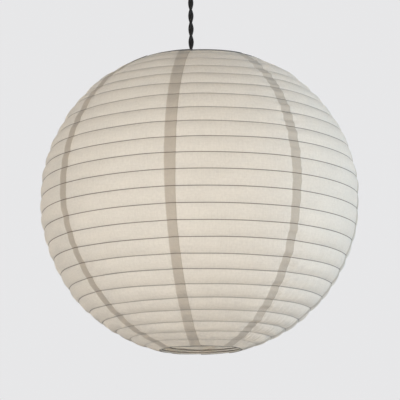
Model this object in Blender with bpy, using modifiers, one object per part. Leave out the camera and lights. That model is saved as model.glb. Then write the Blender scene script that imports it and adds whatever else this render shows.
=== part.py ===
"""Globe lantern shade of lapped cloth panels over wire hoops, hung on a twisted flex from a ceiling cup.

Metres, +Z up. The ceiling face is z = 0 and the flex hangs on the Z axis. Bearings are angles about
Z, counted from the front (-Y) towards +X.
"""

import math

import bmesh
import bpy
import numpy as np
from mathutils import Matrix, Vector

# Gaps
TOUCH = 0.0003  # left between pieces that touch
LEG_PLAY = 0.0015  # between the stretcher's legs and the bottom ring
THROAT_PLAY = 0.00075  # round the flex in the grommet's throat

# Globe
GLOBE_RADIUS = 0.200
GLOBE_HALF_HEIGHT = 0.195
GLOBE_DROP = 0.335  # ceiling face to the globe's centre
GLOBE_OFFSET = 0.0085  # the globe's axis stands this far to +X of the flex
TOP_MOUTH_RADIUS = 0.0833  # to the cloth's edge
BOTTOM_MOUTH_RADIUS = 0.0508

# Cloth panels
PANEL_COUNT = 8
PANEL_FACETS = 3  # flats across a panel, between its laps
FIRST_SEAM_BEARING = math.radians(-9.8)
CLOTH = 0.0004
LAP_WIDTH = 0.012

# Wires
HOOP_COUNT = 23
HOOP_WIRE_RADIUS = 0.00065
RING_WIRE_RADIUS = 0.0015
FRAME_WIRE_RADIUS = 0.00125

# Stretcher frame
STRETCHER_BEARING = math.radians(75.0)  # of its right leg
STRETCHER_RISE = 0.0765  # holder ring above the globe's centre
STRETCHER_BEND = 0.006
TOP_HOOK_SWEEP = math.radians(55.0)
FOOT_SWEEP = math.radians(65.0)
HOLDER_RING_PLAY = 0.0016  # between the holder ring and the lampholder's thread

# Bulb
BULB_RADIUS = 0.030
BULB_LENGTH = 0.104
BULB_GLASS_WALL = 0.0010
BULB_CAP_RADIUS = 0.0132
BULB_CAP_HEIGHT = 0.025
BULB_CAP_SHOULDER = 0.006
BULB_CAP_WALL = 0.0006
BULB_CAP_LAP = 0.008  # of the cap over the glass neck
BULB_FLARE_ANGLE = math.radians(42)  # where the glass ball meets its neck
BULB_FLARE_PULL = 0.45

# Lampholder
HOLDER_PLAY = 0.0014  # between the bulb's cap and the bore
HOLDER_WALL = 0.0049
HOLDER_LIP = 0.0050  # of the shoulder beyond the thread
HOLDER_SHOULDER_THICKNESS = 0.006
HOLDER_SKIRT = 0.038  # shoulder's underside to the mouth
HOLDER_CAP_HEIGHT = 0.020
HOLDER_CAP_NECK = 0.0085
HOLDER_CAP_WALL = 0.002
COLLAR_RIM = 0.0090  # of the collar beyond the thread
COLLAR_FLANGE = 0.0025
COLLAR_HEIGHT = 0.009
COLLAR_WALL = 0.003
CONTACT_THICKNESS = 0.006
GRIP_HEIGHT = 0.014
GRIP_FOOT_RADIUS = 0.0080
GRIP_LIP = 0.0010  # beyond the flex, at the grip's top

# Flex
FLEX_RADIUS = 0.0035
FLEX_STEP = 0.018
FLEX_END_GAP = 0.0030  # below the terminal block

# Ceiling cup
CUP_RADIUS = 0.045
CUP_HEIGHT = 0.045
CUP_WALL = 0.0012
CUP_ROUND = 0.014
GROMMET_RADIUS = 0.0105
GROMMET_LIP = 0.0030
GROMMET_GROOVE = 0.0015
GROMMET_FLARE = 0.0022
BRACKET_THICKNESS = 0.0015
BRACKET_WIDTH = 0.014
BRACKET_EAR = 0.016
BRACKET_HOLE_RADIUS = 0.0022
BRACKET_HOLE_SPACING = 0.056
CUP_SCREW_DROP = 0.010
CUP_SCREW_RADIUS = 0.0016
CUP_SCREW_HEAD_RADIUS = 0.0034
CUP_SCREW_HEAD = 0.0020
CUP_SCREW_LENGTH = 0.007
BLOCK_SIZE = Vector((0.022, 0.011, 0.0115))
BLOCK_BEVEL = 0.0012

# Fineness
TURNED_STEPS = 24
ARC_STEPS = 5

# Sizes that follow from the ones above
HOLDER_BORE = BULB_CAP_RADIUS + HOLDER_PLAY
HOLDER_RADIUS = HOLDER_BORE + HOLDER_WALL
HOLDER_SHOULDER = HOLDER_RADIUS + HOLDER_LIP
COLLAR_RADIUS = HOLDER_RADIUS + COLLAR_RIM
GLOBE_CENTRE = Vector((GLOBE_OFFSET, 0, -GLOBE_DROP))
HOLDER_CENTRE = Vector((0, 0, -GLOBE_DROP))
SHADE_INSET = CLOTH / 2 + TOUCH
RING_HOOK = RING_WIRE_RADIUS + TOUCH + FRAME_WIRE_RADIUS


# Scene and object helpers


def start_collection(name):
    collection = bpy.data.collections.new(name)
    bpy.context.scene.collection.children.link(collection)
    return collection


def finish(name, colour, roughness, metallic=0.0, alpha=1.0):
    material = bpy.data.materials.new(name)
    material.use_nodes = True
    shader = material.node_tree.nodes["Principled BSDF"]
    shader.inputs["Base Color"].default_value = (*colour, 1.0)
    shader.inputs["Roughness"].default_value = roughness
    shader.inputs["Metallic"].default_value = metallic
    shader.inputs["Alpha"].default_value = alpha
    return material


def pivot(name, at, parent=None):
    """An empty on a joint's axis. Pivots aren't turned, so a child's place is a plain difference."""
    empty = bpy.data.objects.new(name, None)
    empty.empty_display_size = 0.02
    PARTS.objects.link(empty)
    empty["world"] = tuple(at)
    empty.parent = parent
    empty.location = Vector(at) - (Vector(parent["world"]) if parent else Vector())
    return empty


def place(obj, at, material, parent):
    PARTS.objects.link(obj)
    obj.data.materials.append(material)
    obj.parent = parent
    obj.location = Vector(at) - Vector(parent["world"])
    return obj


def smooth(mesh):
    mesh.shade_smooth()
    mesh.set_sharp_from_angle(angle=math.radians(40))


def turned(name, profile, at, material, parent, closed=True):
    """A profile of (radius, height) points turned about Z. It runs down the outer side."""
    count = len(profile)
    edges = [(i, (i + 1) % count) for i in range(count if closed else count - 1)]
    mesh = bpy.data.meshes.new(name)
    mesh.from_pydata([(r, 0, z) for r, z in profile], edges, [])
    obj = place(bpy.data.objects.new(name, mesh), at, material, parent)
    screw = obj.modifiers.new("turn", "SCREW")
    screw.steps = TURNED_STEPS
    screw.render_steps = TURNED_STEPS
    screw.use_merge_vertices = True
    screw.merge_threshold = 0.00001
    screw.use_smooth_shade = False
    return obj


def wire(name, points, radius, at, material, parent, cyclic=False, resolution=2):
    curve = bpy.data.curves.new(name, "CURVE")
    curve.dimensions = "3D"
    curve.bevel_depth = radius
    curve.bevel_resolution = resolution
    curve.use_fill_caps = not cyclic
    spline = curve.splines.new("POLY")
    spline.points.add(len(points) - 1)
    spline.points.foreach_set("co", np.insert(np.array(points, float), 3, 1.0, axis=1).ravel())
    spline.use_cyclic_u = cyclic
    return place(bpy.data.objects.new(name, curve), at, material, parent)


def rod_mesh(name, pieces):
    """Round rods along X, as (start, end, radius) on one axis, joined where they meet end to end."""
    work = bmesh.new()
    for start, end, radius in pieces:
        turn = Matrix.Translation(((start + end) / 2, 0, 0)) @ Matrix.Rotation(math.pi / 2, 4, "Y")
        bmesh.ops.create_cone(
            work, cap_ends=True, segments=12, radius1=radius, radius2=radius,
            depth=abs(end - start), matrix=turn,
        )
    mesh = bpy.data.meshes.new(name)
    work.to_mesh(mesh)
    work.free()
    return mesh


def cut(obj, name, mesh, at, turn=None):
    """Takes a cutter's shape out of an object. `at` is a world place."""
    cutter = bpy.data.objects.new(name, mesh)
    CUTTERS.objects.link(cutter)
    cutter.location = at
    if turn:
        cutter.rotation_euler = turn
    cutter.hide_render = True
    cutter.display_type = "WIRE"
    boolean = obj.modifiers.new(name, "BOOLEAN")
    boolean.operation = "DIFFERENCE"
    boolean.solver = "EXACT"
    boolean.object = cutter


def arc(centre, radius, start, end, steps=ARC_STEPS):
    """Points (u, z) on an arc, angles counted from +u towards +z."""
    angles = np.linspace(start, end, steps)
    return [(centre[0] + radius * math.cos(a), centre[1] + radius * math.sin(a)) for a in angles]


# The globe's outline: an ellipse, cut at equal lengths of arc by the rings and the hoops


def outline(t):
    return np.array([GLOBE_RADIUS * math.cos(t), GLOBE_HALF_HEIGHT * math.sin(t)])


def outward(t):
    normal = np.array([GLOBE_HALF_HEIGHT * math.cos(t), GLOBE_RADIUS * math.sin(t)])
    return normal / np.linalg.norm(normal)


def stations():
    """Outline parameters of the top edge, each hoop and the bottom edge, equal lengths apart."""
    top = math.acos(TOP_MOUTH_RADIUS / GLOBE_RADIUS)
    bottom = -math.acos(BOTTOM_MOUTH_RADIUS / GLOBE_RADIUS)
    fine = np.linspace(top, bottom, 2001)
    places = np.array([outline(t) for t in fine])
    lengths = np.concatenate([[0], np.cumsum(np.linalg.norm(np.diff(places, axis=0), axis=1))])
    return np.interp(np.linspace(0, lengths[-1], HOOP_COUNT + 2), lengths, fine)


def panel_bearings(panel, radius):
    """Bearings of a panel's columns: the lap it shares, its flats, and the next lap."""
    seam = FIRST_SEAM_BEARING + panel * math.tau / PANEL_COUNT
    half_lap = LAP_WIDTH / 2 / radius
    flats = np.linspace(seam + half_lap, seam + math.tau / PANEL_COUNT - half_lap, PANEL_FACETS + 1)
    return [seam - half_lap, *flats, seam + math.tau / PANEL_COUNT + half_lap]


def at_bearing(bearing, radius, height):
    return (radius * math.sin(bearing), -radius * math.cos(bearing), height)


def hoop_points(t, wire_radius):
    """A closed wire just inside the cloth, cornered where the panels' columns are."""
    radius = outline(t)[0]
    inner = radius - (SHADE_INSET + wire_radius) * outward(t)[0]
    bearings = [b for panel in range(PANEL_COUNT) for b in panel_bearings(panel, radius)[:-2]]
    return [at_bearing(b, inner, 0) for b in bearings]


def wire_height(t, wire_radius):
    return outline(t)[1] - (SHADE_INSET + wire_radius) * outward(t)[1]


def wire_circle(t, wire_radius):
    """Radius and height of a wire's centre line inside the cloth's edge."""
    return outline(t) - (SHADE_INSET + wire_radius) * outward(t)


def make_panel(panel, parent):
    """One cloth panel. Its far edge is lifted by a cloth's thickness, to lap over the next."""
    lift_shares = [0, 0, *np.linspace(0, 1, PANEL_FACETS + 1)[1:], 1]
    rows = []
    for t in STATIONS:
        bearings = panel_bearings(panel, outline(t)[0])
        places = [outline(t) + share * (CLOTH + TOUCH) * outward(t) for share in lift_shares]
        rows.append([at_bearing(b, *p) for b, p in zip(bearings, places)])
    columns = len(lift_shares)
    faces = [
        (i * columns + j, (i + 1) * columns + j, (i + 1) * columns + j + 1, i * columns + j + 1)
        for i in range(len(rows) - 1)
        for j in range(columns - 1)
    ]
    name = f"gore_{panel + 1}"
    mesh = bpy.data.meshes.new(name)
    mesh.from_pydata([p for row in rows for p in row], [], faces)
    obj = place(bpy.data.objects.new(name, mesh), GLOBE_CENTRE, CLOTH_FINISH, parent)
    shell = obj.modifiers.new("thickness", "SOLIDIFY")
    shell.thickness = CLOTH
    shell.offset = 0
    smooth(mesh)


def make_hoops(parent):
    """Hoops that keep the globe round. Each slides on its own as the globe collapses."""
    for number, t in enumerate(STATIONS[1:-1], 1):
        at = GLOBE_CENTRE + Vector((0, 0, wire_height(t, HOOP_WIRE_RADIUS)))
        points = hoop_points(t, HOOP_WIRE_RADIUS)
        wire(f"hoop_{number:02d}", points, HOOP_WIRE_RADIUS, at, STEEL_WIRE, parent, True, 0)


def make_ring(name, t, parent):
    at = GLOBE_CENTRE + Vector((0, 0, wire_height(t, RING_WIRE_RADIUS)))
    wire(name, hoop_points(t, RING_WIRE_RADIUS), RING_WIRE_RADIUS, at, STEEL_WIRE, parent, True, 1)


# Stretcher: two bracket-shaped wires joined by arms to a ring that hangs on the lampholder


def side_wire_outline():
    """Distances from the globe's axis and heights: top hook, arm, leg, foot over the bottom ring."""
    top_radius, top_height = wire_circle(STATIONS[0], RING_WIRE_RADIUS)
    low_radius, low_height = wire_circle(STATIONS[-1], RING_WIRE_RADIUS)
    leg = low_radius - RING_WIRE_RADIUS - LEG_PLAY - FRAME_WIRE_RADIUS
    arm_height = top_height - RING_HOOK
    foot_height = low_height + RING_HOOK
    foot_bend = min(STRETCHER_BEND, low_radius - leg - TOUCH)
    quarter = math.pi / 2
    points = arc((top_radius, top_height), RING_HOOK, TOP_HOOK_SWEEP - quarter, -quarter)
    corner = (leg + STRETCHER_BEND, arm_height - STRETCHER_BEND)
    points += arc(corner, STRETCHER_BEND, quarter, 2 * quarter)
    points += arc((leg + foot_bend, foot_height + foot_bend), foot_bend, 2 * quarter, 3 * quarter)
    points += arc((low_radius, low_height), RING_HOOK, quarter, quarter - FOOT_SWEEP)
    return leg, points


def make_stretcher(parent):
    leg, outline_points = side_wire_outline()
    ring_radius = HOLDER_RADIUS + HOLDER_RING_PLAY + FRAME_WIRE_RADIUS
    ring_at = HOLDER_CENTRE + Vector((0, 0, STRETCHER_RISE))
    bearings = np.arange(TURNED_STEPS) * math.tau / TURNED_STEPS
    circle = [at_bearing(b, ring_radius, 0) for b in bearings]
    wire("holder_ring", circle, FRAME_WIRE_RADIUS, ring_at, FRAME_WIRE, parent, True, 1)
    for side, bearing in (("right", STRETCHER_BEARING), ("left", STRETCHER_BEARING + math.pi)):
        points = [at_bearing(bearing, u, z) for u, z in outline_points]
        wire(f"side_wire_{side}", points, FRAME_WIRE_RADIUS, GLOBE_CENTRE, FRAME_WIRE, parent)
        leg_at = GLOBE_CENTRE + Vector(at_bearing(bearing, leg, STRETCHER_RISE))
        reach = leg_at - ring_at
        length = reach.length - ring_radius - 2 * FRAME_WIRE_RADIUS - 2 * TOUCH
        start = reach.normalized() * (ring_radius + FRAME_WIRE_RADIUS + TOUCH)
        ends = [start, start + reach.normalized() * length]
        wire(f"arm_{side}", ends, FRAME_WIRE_RADIUS, ring_at, FRAME_WIRE, parent, False, 1)


# Lampholder: a skirt with a shoulder, a domed cap, a contact block, a cord grip and a screw collar


def make_lampholder(parent, collar_parent):
    under = STRETCHER_RISE + FRAME_WIRE_RADIUS + TOUCH
    over = under + HOLDER_SHOULDER_THICKNESS
    skirt = [
        (HOLDER_SHOULDER, over), (HOLDER_SHOULDER, under), (HOLDER_RADIUS, under),
        (HOLDER_RADIUS, under - HOLDER_SKIRT), (HOLDER_BORE, under - HOLDER_SKIRT),
        (HOLDER_BORE, over),
    ]
    turned("lampholder_skirt", skirt, HOLDER_CENTRE, BLACK_PLASTIC, parent)

    foot = over + TOUCH
    dome_radius = HOLDER_SHOULDER - HOLDER_CAP_NECK
    dome_height = HOLDER_CAP_HEIGHT

    def dome(shrink):
        angles = np.linspace(0, math.pi / 2, ARC_STEPS)
        return [
            (HOLDER_CAP_NECK + dome_radius * math.cos(a) - shrink,
             foot + (dome_height - shrink) * math.sin(a))
            for a in angles
        ]

    outer = dome(0)
    inner = dome(HOLDER_CAP_WALL)
    turned("lampholder_cap", outer[::-1] + inner, HOLDER_CENTRE, BLACK_PLASTIC, parent)

    grip_foot = foot + dome_height + TOUCH
    grip = [
        (0, grip_foot + GRIP_HEIGHT), (FLEX_RADIUS + GRIP_LIP, grip_foot + GRIP_HEIGHT),
        (GRIP_FOOT_RADIUS, grip_foot + GRIP_HEIGHT / 3), (GRIP_FOOT_RADIUS, grip_foot), (0, grip_foot),
    ]
    turned("flex_grip", grip, HOLDER_CENTRE, BLACK_PLASTIC, parent, False)

    seat = BULB_LENGTH - BULB_RADIUS + TOUCH
    contact = [
        (0, seat + CONTACT_THICKNESS), (HOLDER_BORE - TOUCH, seat + CONTACT_THICKNESS),
        (HOLDER_BORE - TOUCH, seat), (0, seat),
    ]
    turned("lampholder_contact", contact, HOLDER_CENTRE, CERAMIC, parent, False)

    top = STRETCHER_RISE - FRAME_WIRE_RADIUS - TOUCH
    hole = HOLDER_RADIUS + TOUCH
    collar = [
        (COLLAR_RADIUS, top), (COLLAR_RADIUS, top - COLLAR_FLANGE), (hole + COLLAR_WALL, top - COLLAR_FLANGE),
        (hole + COLLAR_WALL, top - COLLAR_HEIGHT), (hole, top - COLLAR_HEIGHT), (hole, top),
    ]
    turned("shade_collar", collar, HOLDER_CENTRE, BLACK_PLASTIC, collar_parent)
    return grip_foot + GRIP_HEIGHT


# Bulb: an open-necked glass envelope in a metal cap


def bulb_outline(shrink):
    """Glass outline from the neck's open end down and round to the bottom, on the axis."""
    neck = BULB_CAP_RADIUS - BULB_CAP_WALL - TOUCH - shrink
    open_end = BULB_LENGTH - BULB_RADIUS - BULB_CAP_HEIGHT + BULB_CAP_LAP
    ball = BULB_RADIUS - shrink
    leaves = BULB_FLARE_ANGLE
    waist = Vector((neck, open_end - BULB_CAP_LAP))
    shoulder = Vector((ball * math.cos(leaves), ball * math.sin(leaves)))
    pull = Vector((-math.sin(leaves), math.cos(leaves))) * (waist.y - shoulder.y) * BULB_FLARE_PULL
    drop = Vector((0, (shoulder.y - waist.y) * BULB_FLARE_PULL))
    flare = []
    for s in np.linspace(0, 1, 5):
        a, b, c, d = waist, waist + drop, shoulder + pull, shoulder
        point = a * (1 - s) ** 3 + b * 3 * s * (1 - s) ** 2 + c * 3 * s * s * (1 - s) + d * s**3
        flare.append(tuple(point))
    round_end = arc((0, 0), ball, leaves, -math.pi / 2, 8)[1:]
    round_end[-1] = (0, -ball)
    return [(neck, open_end), *flare, *round_end]


def make_bulb(parent):
    profile = bulb_outline(0) + bulb_outline(BULB_GLASS_WALL)[::-1]
    turned("bulb_glass", profile, HOLDER_CENTRE, GLASS, parent)
    top = BULB_LENGTH - BULB_RADIUS
    low = top - BULB_CAP_HEIGHT
    outer = [
        (0, top), (BULB_CAP_RADIUS - BULB_CAP_SHOULDER, top), (BULB_CAP_RADIUS, top - BULB_CAP_SHOULDER / 2),
        (BULB_CAP_RADIUS, low),
    ]
    wall = BULB_CAP_WALL
    inner = [
        (BULB_CAP_RADIUS - wall, low), (BULB_CAP_RADIUS - wall, top - BULB_CAP_SHOULDER / 2 - wall / 2),
        (BULB_CAP_RADIUS - BULB_CAP_SHOULDER - wall / 2, top - wall), (0, top - wall),
    ]
    turned("bulb_cap", outer + inner, HOLDER_CENTRE, CAP_METAL, parent, False)


# Ceiling fitting: strap, cup, side screws, grommet and terminal block


def make_ceiling(parent):
    origin = Vector((0, 0, 0))
    flats = (CUP_RADIUS - CUP_WALL) * math.cos(math.pi / TURNED_STEPS)  # a turned wall's nearest points
    ear_face = math.sqrt((flats - TOUCH) ** 2 - (BRACKET_WIDTH / 2) ** 2)

    half = BRACKET_WIDTH / 2
    path = [(-ear_face, -BRACKET_EAR), (-ear_face, 0), (ear_face, 0), (ear_face, -BRACKET_EAR)]
    strip = [(x, y, z) for x, z in path for y in (-half, half)]
    faces = [(2 * i, 2 * i + 2, 2 * i + 3, 2 * i + 1) for i in range(3)]
    mesh = bpy.data.meshes.new("ceiling_bracket")
    mesh.from_pydata(strip, [], faces)
    bracket = place(bpy.data.objects.new("ceiling_bracket", mesh), origin, ZINC, parent)
    sheet = bracket.modifiers.new("thickness", "SOLIDIFY")
    sheet.thickness = BRACKET_THICKNESS
    sheet.offset = -1
    sheet.use_even_offset = True

    corner = (CUP_RADIUS - CUP_ROUND, -CUP_HEIGHT + CUP_ROUND)
    hole = GROMMET_RADIUS - GROMMET_GROOVE + TOUCH
    outer = [(CUP_RADIUS, 0), *arc(corner, CUP_ROUND, 0, -math.pi / 2), (hole, -CUP_HEIGHT)]
    inner = [
        (hole, -CUP_HEIGHT + CUP_WALL), *arc(corner, CUP_ROUND - CUP_WALL, -math.pi / 2, 0),
        (CUP_RADIUS - CUP_WALL, 0),
    ]
    cup = turned("ceiling_cup", outer + inner, origin, CUP_PAINT, parent)

    screw_at = Vector((0, 0, -CUP_SCREW_DROP))
    bore = CUP_SCREW_RADIUS + TOUCH
    through = [(-CUP_RADIUS - 0.01, CUP_RADIUS + 0.01, bore)]
    cut(cup, "cup_screw_bore", rod_mesh("cup_screw_bore", through), screw_at)
    cut(bracket, "ear_screw_bore", rod_mesh("ear_screw_bore", through), screw_at)
    for side in (-1, 1):
        name = f"ceiling_screw_bore_{'left' if side < 0 else 'right'}"
        at = Vector((side * BRACKET_HOLE_SPACING / 2, 0, 0))
        hole_mesh = rod_mesh(name, [(-0.01, 0.01, BRACKET_HOLE_RADIUS)])
        cut(bracket, name, hole_mesh, at, (0, math.pi / 2, 0))

    make_cup_screw("cup_screw_left", -1, screw_at, parent)
    make_cup_screw("cup_screw_right", 1, screw_at, parent)

    floor_top = -CUP_HEIGHT + CUP_WALL
    neck = GROMMET_RADIUS - GROMMET_GROOVE
    throat = FLEX_RADIUS + THROAT_PLAY
    rim_top = floor_top + TOUCH + GROMMET_LIP
    rim_low = -CUP_HEIGHT - TOUCH - GROMMET_LIP
    middle = (rim_top + rim_low) / 2
    grommet = [
        (GROMMET_RADIUS - TOUCH, rim_top), (GROMMET_RADIUS, floor_top + TOUCH), (neck, floor_top + TOUCH),
        (neck, -CUP_HEIGHT - TOUCH), (GROMMET_RADIUS, -CUP_HEIGHT - TOUCH),
        (GROMMET_RADIUS - GROMMET_LIP / 2, rim_low), (throat + GROMMET_FLARE, rim_low),
        (throat, middle), (throat + GROMMET_FLARE, rim_top),
    ]
    turned("cup_grommet", grommet, origin, RUBBER, parent)

    work = bmesh.new()
    bmesh.ops.create_cube(work, size=1, matrix=Matrix.Diagonal((*BLOCK_SIZE, 1)))
    mesh = bpy.data.meshes.new("terminal_block")
    work.to_mesh(mesh)
    work.free()
    top = -BRACKET_THICKNESS - TOUCH
    at = Vector((0, 0, top - BLOCK_SIZE.z / 2))
    block = place(bpy.data.objects.new("terminal_block", mesh), at, WHITE_PLASTIC, parent)
    bevel = block.modifiers.new("edges", "BEVEL")
    bevel.width = BLOCK_BEVEL
    bevel.segments = 2
    return middle, top - BLOCK_SIZE.z


def make_cup_screw(name, side, axis_at, parent):
    """A cheese-head screw along X, its head outside the cup's wall and its shank through the ear."""
    profile = [
        (0, CUP_SCREW_HEAD), (CUP_SCREW_HEAD_RADIUS, CUP_SCREW_HEAD), (CUP_SCREW_HEAD_RADIUS, 0),
        (CUP_SCREW_RADIUS, 0), (CUP_SCREW_RADIUS, -CUP_SCREW_LENGTH), (0, -CUP_SCREW_LENGTH),
    ]
    at = axis_at + Vector((side * (CUP_RADIUS + TOUCH), 0, 0))
    screw = turned(name, profile, at, ZINC, parent, False)
    screw.rotation_euler = (0, side * math.pi / 2, 0)


def make_flex(low, high, parent):
    """The flex, straight down from under the terminal block to the cord grip."""
    count = math.ceil((high - low) / FLEX_STEP) + 1
    points = [(0, 0, z) for z in np.linspace(low, high, count)]
    wire("flex", points, FLEX_RADIUS, Vector((0, 0, 0)), BLACK_BRAID, parent)


for old in list(bpy.data.objects):
    bpy.data.objects.remove(old, do_unlink=True)
PARTS = start_collection("lantern_shade")
CUTTERS = start_collection("lantern_shade_cutters")

CLOTH_FINISH = finish("linen_cloth", (0.62, 0.56, 0.47), 0.9)
STEEL_WIRE = finish("hoop_wire", (0.20, 0.18, 0.16), 0.45, 0.8)
FRAME_WIRE = finish("frame_wire", (0.62, 0.62, 0.60), 0.35, 1.0)
BLACK_PLASTIC = finish("black_plastic", (0.015, 0.015, 0.016), 0.45)
BLACK_BRAID = finish("black_braid", (0.012, 0.012, 0.013), 0.8)
CERAMIC = finish("contact_ceramic", (0.80, 0.78, 0.72), 0.5)
GLASS = finish("opal_glass", (0.95, 0.93, 0.88), 0.3, 0.0, 0.9)
CAP_METAL = finish("nickel_cap", (0.65, 0.63, 0.58), 0.3, 1.0)
CUP_PAINT = finish("black_paint", (0.02, 0.02, 0.021), 0.4)
ZINC = finish("zinc_plate", (0.60, 0.60, 0.62), 0.4, 1.0)
RUBBER = finish("black_rubber", (0.02, 0.02, 0.02), 0.7)
WHITE_PLASTIC = finish("white_plastic", (0.80, 0.80, 0.78), 0.5)

STATIONS = stations()

CEILING = pivot("ceiling", (0, 0, 0))
GROMMET_MIDDLE, BLOCK_UNDERSIDE = make_ceiling(CEILING)
SWING = pivot("swing_axis", (0, 0, GROMMET_MIDDLE), CEILING)
COLLAR_AXIS = pivot("collar_axis", HOLDER_CENTRE, SWING)
BULB_AXIS = pivot("bulb_axis", HOLDER_CENTRE, SWING)
SHADE_AXIS = pivot("shade_axis", HOLDER_CENTRE, SWING)
COLLAPSE = pivot("collapse_slide", GLOBE_CENTRE, SHADE_AXIS)

GRIP_TOP = make_lampholder(SWING, COLLAR_AXIS)
make_bulb(BULB_AXIS)
make_flex(HOLDER_CENTRE.z + GRIP_TOP + TOUCH, BLOCK_UNDERSIDE - FLEX_END_GAP, SWING)
make_stretcher(SHADE_AXIS)
make_ring("top_ring", STATIONS[0], SHADE_AXIS)
make_ring("bottom_ring", STATIONS[-1], COLLAPSE)
make_hoops(COLLAPSE)
for number in range(PANEL_COUNT):
    make_panel(number, SHADE_AXIS)
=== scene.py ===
"""A round lamp shade of lapped cloth panels over wire hoops, hung from a ceiling cup by a twisted flex."""

import math

import bmesh
import bpy
import numpy as np
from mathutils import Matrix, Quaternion, Vector


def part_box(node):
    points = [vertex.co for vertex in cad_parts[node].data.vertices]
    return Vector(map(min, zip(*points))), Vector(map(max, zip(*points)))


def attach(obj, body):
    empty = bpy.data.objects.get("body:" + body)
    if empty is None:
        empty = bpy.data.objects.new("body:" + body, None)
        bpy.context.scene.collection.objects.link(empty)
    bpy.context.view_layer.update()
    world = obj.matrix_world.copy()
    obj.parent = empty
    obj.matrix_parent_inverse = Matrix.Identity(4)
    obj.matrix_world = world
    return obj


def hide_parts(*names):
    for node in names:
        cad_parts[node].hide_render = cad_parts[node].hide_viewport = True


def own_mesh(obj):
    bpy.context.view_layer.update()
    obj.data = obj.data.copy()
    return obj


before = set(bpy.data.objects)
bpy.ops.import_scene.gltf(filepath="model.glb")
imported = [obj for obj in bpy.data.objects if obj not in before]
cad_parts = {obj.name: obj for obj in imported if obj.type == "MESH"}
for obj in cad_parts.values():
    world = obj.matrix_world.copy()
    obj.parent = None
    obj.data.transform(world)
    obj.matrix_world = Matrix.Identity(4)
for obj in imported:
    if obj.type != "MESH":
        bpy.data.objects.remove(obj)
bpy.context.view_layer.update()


# Studio
# A pale room with soft light from all round, a warm soft light before the lamp, a cooler one to its
# right and a plain floor far below. The camera stands under the globe's middle and looks up at it.

ROOM_LIGHT = (0.80, 0.80, 0.81)
ROOM_CEILING = (0.15, 0.16, 0.17)
CEILING_STARTS, CEILING_FULL = 0.29, 0.52
AIM_ASIDE = 0.0008
AIM_RISE = 0.0022
CAMERA_ROLL = math.radians(0.6)
FLOOR_HEIGHT = -5.5
FLOOR_REACH = 30.0
GLOBE_AXIS = (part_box("bottom_ring")[0][0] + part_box("bottom_ring")[1][0]) / 2
HOLDER_AXIS = (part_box("lampholder_skirt")[0][0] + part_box("lampholder_skirt")[1][0]) / 2
BULB_BALL = 0.030
GLOBE_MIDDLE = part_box("bulb_glass")[0][2] + BULB_BALL
CAMERA_DISTANCE = 2.400
CAMERA_DROP = 0.437
CAMERA_LENS = 170.2

view = bpy.data.cameras.new("view")
view.lens = CAMERA_LENS
view.clip_end = 100
camera = bpy.data.objects.new("view", view)
bpy.context.scene.collection.objects.link(camera)
back = math.sqrt(CAMERA_DISTANCE**2 - CAMERA_DROP**2)
camera.location = (GLOBE_AXIS, -back, GLOBE_MIDDLE - CAMERA_DROP)
sight = Vector((AIM_ASIDE, back, CAMERA_DROP + AIM_RISE))
roll = Quaternion(sight.normalized(), CAMERA_ROLL)
camera.rotation_euler = (roll @ sight.to_track_quat("-Z", "Y")).to_euler()
bpy.context.scene.camera = camera
bpy.context.scene.view_settings.view_transform = "Standard"

# The name, place, width, power and colour of each soft light. Both face the globe's middle.
SOFT_LIGHTS = (
    ("front_light", (-0.55, -3.1, -0.95), 1.2, 86, (1.0, 0.965, 0.92)),
    ("side_light", (2.9, 0.3, -0.2), 1.6, 94, (0.68, 0.85, 1.0)),
)
for light_name, light_place, width, power, colour in SOFT_LIGHTS:
    lamp = bpy.data.lights.new(light_name, "AREA")
    lamp.color = colour
    lamp.shape = "DISK"
    lamp.size = width
    lamp.energy = power
    holder = bpy.data.objects.new(light_name, lamp)
    bpy.context.scene.collection.objects.link(holder)
    holder.location = light_place
    aim = Vector((GLOBE_AXIS, 0, GLOBE_MIDDLE)) - Vector(light_place)
    holder.rotation_euler = aim.to_track_quat("-Z", "Y").to_euler()


def node(tree, kind, inputs=None, **settings):
    """Adds a shader node. An input is a number, a colour or another node's output."""
    made = tree.nodes.new("ShaderNode" + kind)
    for setting, value in settings.items():
        setattr(made, setting, value)
    for socket, value in (inputs or {}).items():
        if isinstance(value, bpy.types.NodeSocket):
            tree.links.new(value, made.inputs[socket])
        else:
            made.inputs[socket].default_value = value
    return made


def finish(name, colour, roughness, **sockets):
    """A material with a Principled shader. Sockets are named with _ for a space."""
    material = bpy.data.materials.new(name)
    material.use_nodes = True
    shader = material.node_tree.nodes["Principled BSDF"]
    shader.inputs["Base Color"].default_value = (*colour, 1)
    shader.inputs["Roughness"].default_value = roughness
    for socket, value in sockets.items():
        shader.inputs[socket.replace("_", " ").title().replace("Ior", "IOR")].default_value = value
    return material, material.node_tree, shader


def noise(tree, where, scale, detail=3.0, stretch=None):
    """Noise of the given scale per metre, drawn out along an axis where stretch is given."""
    if stretch:
        where = node(tree, "Mapping", {"Vector": where, "Scale": stretch}).outputs[0]
    made = node(tree, "TexNoise", {"Vector": where, "Scale": scale, "Detail": detail})
    return made.outputs["Fac"]


def spread(tree, value, low, high, to_low, to_high):
    """A value between two limits, spread between two others."""
    inputs = {0: value, 1: low, 2: high, 3: to_low, 4: to_high}
    return node(tree, "MapRange", inputs).outputs[0]


def tinted(tree, factor, colour, other):
    """One colour turning into another. Either may be a node's output."""
    inputs = {0: factor}
    for socket, value in ((6, colour), (7, other)):
        inputs[socket] = value if isinstance(value, bpy.types.NodeSocket) else (*value, 1)
    return node(tree, "Mix", inputs, data_type="RGBA").outputs[2]


def in_place(tree):
    """The place on the object, in metres."""
    return node(tree, "TexCoord").outputs["Object"]


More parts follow.
